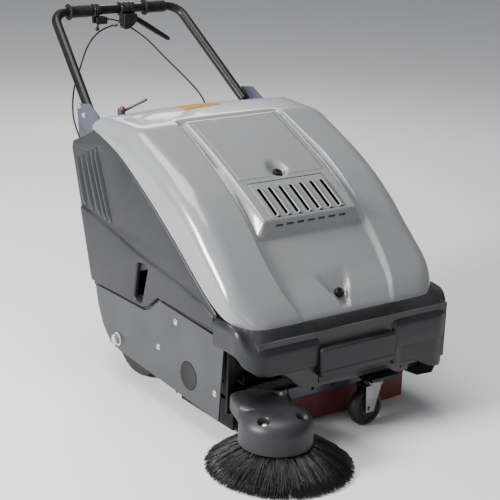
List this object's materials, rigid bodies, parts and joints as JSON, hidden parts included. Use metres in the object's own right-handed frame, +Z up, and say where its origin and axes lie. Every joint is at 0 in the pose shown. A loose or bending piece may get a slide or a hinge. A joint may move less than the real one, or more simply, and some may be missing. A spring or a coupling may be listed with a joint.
{
  "type": "walk behind sweeper",
  "caption": "Walk-behind floor sweeper with hinged hood, front dirt hopper, side brush, main brush, rear drive wheels, front caster and tubular push handle.",
  "frame": {"origin": "on the floor under the middle of the whole machine's box, side brush and handle included", "axes": "-Y is forward, +X is to the left of someone facing the machine's front, +Z is up"},
  "size_m": [0.805, 1.467, 0.941],
  "materials": {
    "hood_plastic": "glossy moulded plastic, light silver grey",
    "dark_plastic": "satin textured dark grey moulding",
    "dark_steel": "powder-coated dark grey steel",
    "black_plastic": "black moulded plastic",
    "handle_paint": "black powder-coated tube",
    "bracket_paint": "blue-grey painted steel",
    "clamp_paint": "grey die-cast lever",
    "zinc_steel": "zinc-plated steel",
    "bright_screw": "bright plated screws",
    "pulley_aluminium": "turned aluminium",
    "bristle": "black polypropylene bristles",
    "rubber": "black rubber",
    "tyre_rubber": "black tyre rubber",
    "flap_rubber": "dark red rubber sheet"
  },
  "bodies": {
    "chassis": {"side_cover_left": "dark_plastic", "side_cover_right": "dark_plastic", "side_skirt_left": "dark_steel", "side_skirt_right": "dark_steel", "rear_panel": "dark_plastic", "chassis_frame": "dark_steel", "brush_chamber": "dark_steel", "batteries": "black_plastic", "main_motor": "dark_steel", "fan_housing": "dark_plastic", "filter_panel": "black_plastic", "main_drive_belt": "rubber", "rubber_skirts": "rubber", "rear_axle": "zinc_steel", "traction_motor": "dark_steel", "traction_belt": "rubber", "handle_tube": "handle_paint", "handle_brackets": "bracket_paint", "body_bolts": "bright_screw", "handle_grips": "black_plastic", "lever_brackets": "black_plastic", "drive_cable": "rubber", "flap_cable": "rubber", "cable_grommets": "black_plastic", "flap_strap": "zinc_steel", "caster_plate": "zinc_steel", "brush_caps": "black_plastic", "clamp_base": "black_plastic"},
    "hood": {"hood_shell": "hood_plastic", "grille_panel": "hood_plastic", "hood_knob": "bright_screw", "hood_hinges": "zinc_steel"},
    "lid": {"hood_lid": "hood_plastic", "lid_screw": "bright_screw"},
    "hopper": {"hopper_fascia": "dark_plastic", "hopper_grip": "dark_plastic", "hopper_tub": "dark_plastic"},
    "brush_arm": {"brush_arm": "dark_steel", "brush_cover": "dark_plastic", "cover_screws": "bright_screw", "side_brush_motor": "dark_steel"},
    "side_brush": {"side_brush_disc": "black_plastic", "side_brush_bristles": "bristle"},
    "main_brush": {"main_brush_core": "black_plastic", "main_brush_bristles": "bristle", "main_brush_pulley": "pulley_aluminium"},
    "motor_rotor": {"motor_shaft": "zinc_steel", "fan_impeller": "black_plastic"},
    "wheel_left": {"wheel_left": "black_plastic", "tyre_left": "tyre_rubber"},
    "wheel_right": {"wheel_right": "black_plastic", "tyre_right": "tyre_rubber"},
    "traction_pulley": {"traction_pulley": "pulley_aluminium"},
    "caster_fork": {"caster_fork": "zinc_steel"},
    "caster_wheel": {"caster_wheel": "tyre_rubber"},
    "drive_lever": {"drive_lever": "handle_paint"},
    "flap_lever": {"flap_lever": "handle_paint"},
    "front_flap": {"front_flap": "flap_rubber"},
    "clamp_lever": {"clamp_lever": "clamp_paint"},
    "ignition_key": {"ignition_key": "black_plastic"}
  },
  "joints": [
    {"name": "hood_hinge", "type": "hinge", "parent": "chassis", "child": "hood", "pos_m": [0.0585, 0.2915, 0.684], "axis": [-1, 0, 0], "range_deg": [0, 40]},
    {"name": "lid_lift", "type": "slide", "parent": "hood", "child": "lid", "axis": [0, -0.4226, 0.9063], "range_m": [0, 0.12]},
    {"name": "hopper_slide", "type": "slide", "parent": "chassis", "child": "hopper", "axis": [0, -1, 0], "range_m": [0, 0.35]},
    {"name": "side_brush_lift", "type": "hinge", "parent": "chassis", "child": "brush_arm", "pos_m": [-0.2225, -0.3325, 0.15], "axis": [-1, 0, 0], "range_deg": [0, 8]},
    {"name": "side_brush_spin", "type": "hinge", "parent": "brush_arm", "child": "side_brush", "pos_m": [-0.2125, -0.5435, 0.1], "axis": [0, 0, 1], "continuous": true},
    {"name": "main_brush_spin", "type": "hinge", "parent": "chassis", "child": "main_brush", "pos_m": [0.0585, -0.2215, 0.133], "axis": [1, 0, 0], "continuous": true},
    {"name": "motor_spin", "type": "hinge", "parent": "chassis", "child": "motor_rotor", "pos_m": [0.0585, -0.0605, 0.345], "axis": [1, 0, 0], "continuous": true},
    {"name": "wheel_left_spin", "type": "hinge", "parent": "chassis", "child": "wheel_left", "pos_m": [-0.1905, 0.1295, 0.115], "axis": [1, 0, 0], "continuous": true},
    {"name": "wheel_right_spin", "type": "hinge", "parent": "chassis", "child": "wheel_right", "pos_m": [0.3075, 0.1295, 0.115], "axis": [1, 0, 0], "continuous": true},
    {"name": "traction_spin", "type": "hinge", "parent": "chassis", "child": "traction_pulley", "pos_m": [-0.1415, -0.0205, 0.19], "axis": [1, 0, 0], "continuous": true},
    {"name": "caster_swivel", "type": "hinge", "parent": "chassis", "child": "caster_fork", "pos_m": [0.1445, -0.4595, 0.132], "axis": [0, 0, 1], "continuous": true},
    {"name": "caster_roll", "type": "hinge", "parent": "caster_fork", "child": "caster_wheel", "pos_m": [0.1245, -0.4595, 0.05], "axis": [0, 1, 0], "continuous": true},
    {"name": "drive_lever_pull", "type": "hinge", "parent": "chassis", "child": "drive_lever", "pos_m": [0.1045, 0.6945, 0.893], "axis": [0, -1, 0], "range_deg": [0, 20], "stiffness_Nm_per_rad": 0.6, "springref_deg": -20.05},
    {"name": "flap_lever_pull", "type": "hinge", "parent": "chassis", "child": "flap_lever", "pos_m": [-0.0135, 0.6925, 0.884], "axis": [0, 1, 0], "range_deg": [0, 30]},
    {"name": "front_flap_lift", "type": "hinge", "parent": "chassis", "child": "front_flap", "pos_m": [0.0585, -0.3825, 0.081], "axis": [1, 0, 0], "range_deg": [0, 45]},
    {"name": "clamp_lever_turn", "type": "hinge", "parent": "chassis", "child": "clamp_lever", "pos_m": [-0.1545, 0.3135, 0.694], "axis": [0, 0, 1], "range_deg": [-25, 90]},
    {"name": "key_turn", "type": "hinge", "parent": "chassis", "child": "ignition_key", "pos_m": [0.2085, 0.3475, 0.65], "axis": [0, 0, 1], "range_deg": [0, 90]}
  ],
  "couplings": [
    {"joint": "motor_spin", "follows": "main_brush_spin", "ratio": 1.875},
    {"joint": "traction_spin", "follows": "wheel_left_spin", "ratio": 2.9167},
    {"joint": "front_flap_lift", "follows": "flap_lever_pull", "ratio": 1.5}
  ]
}
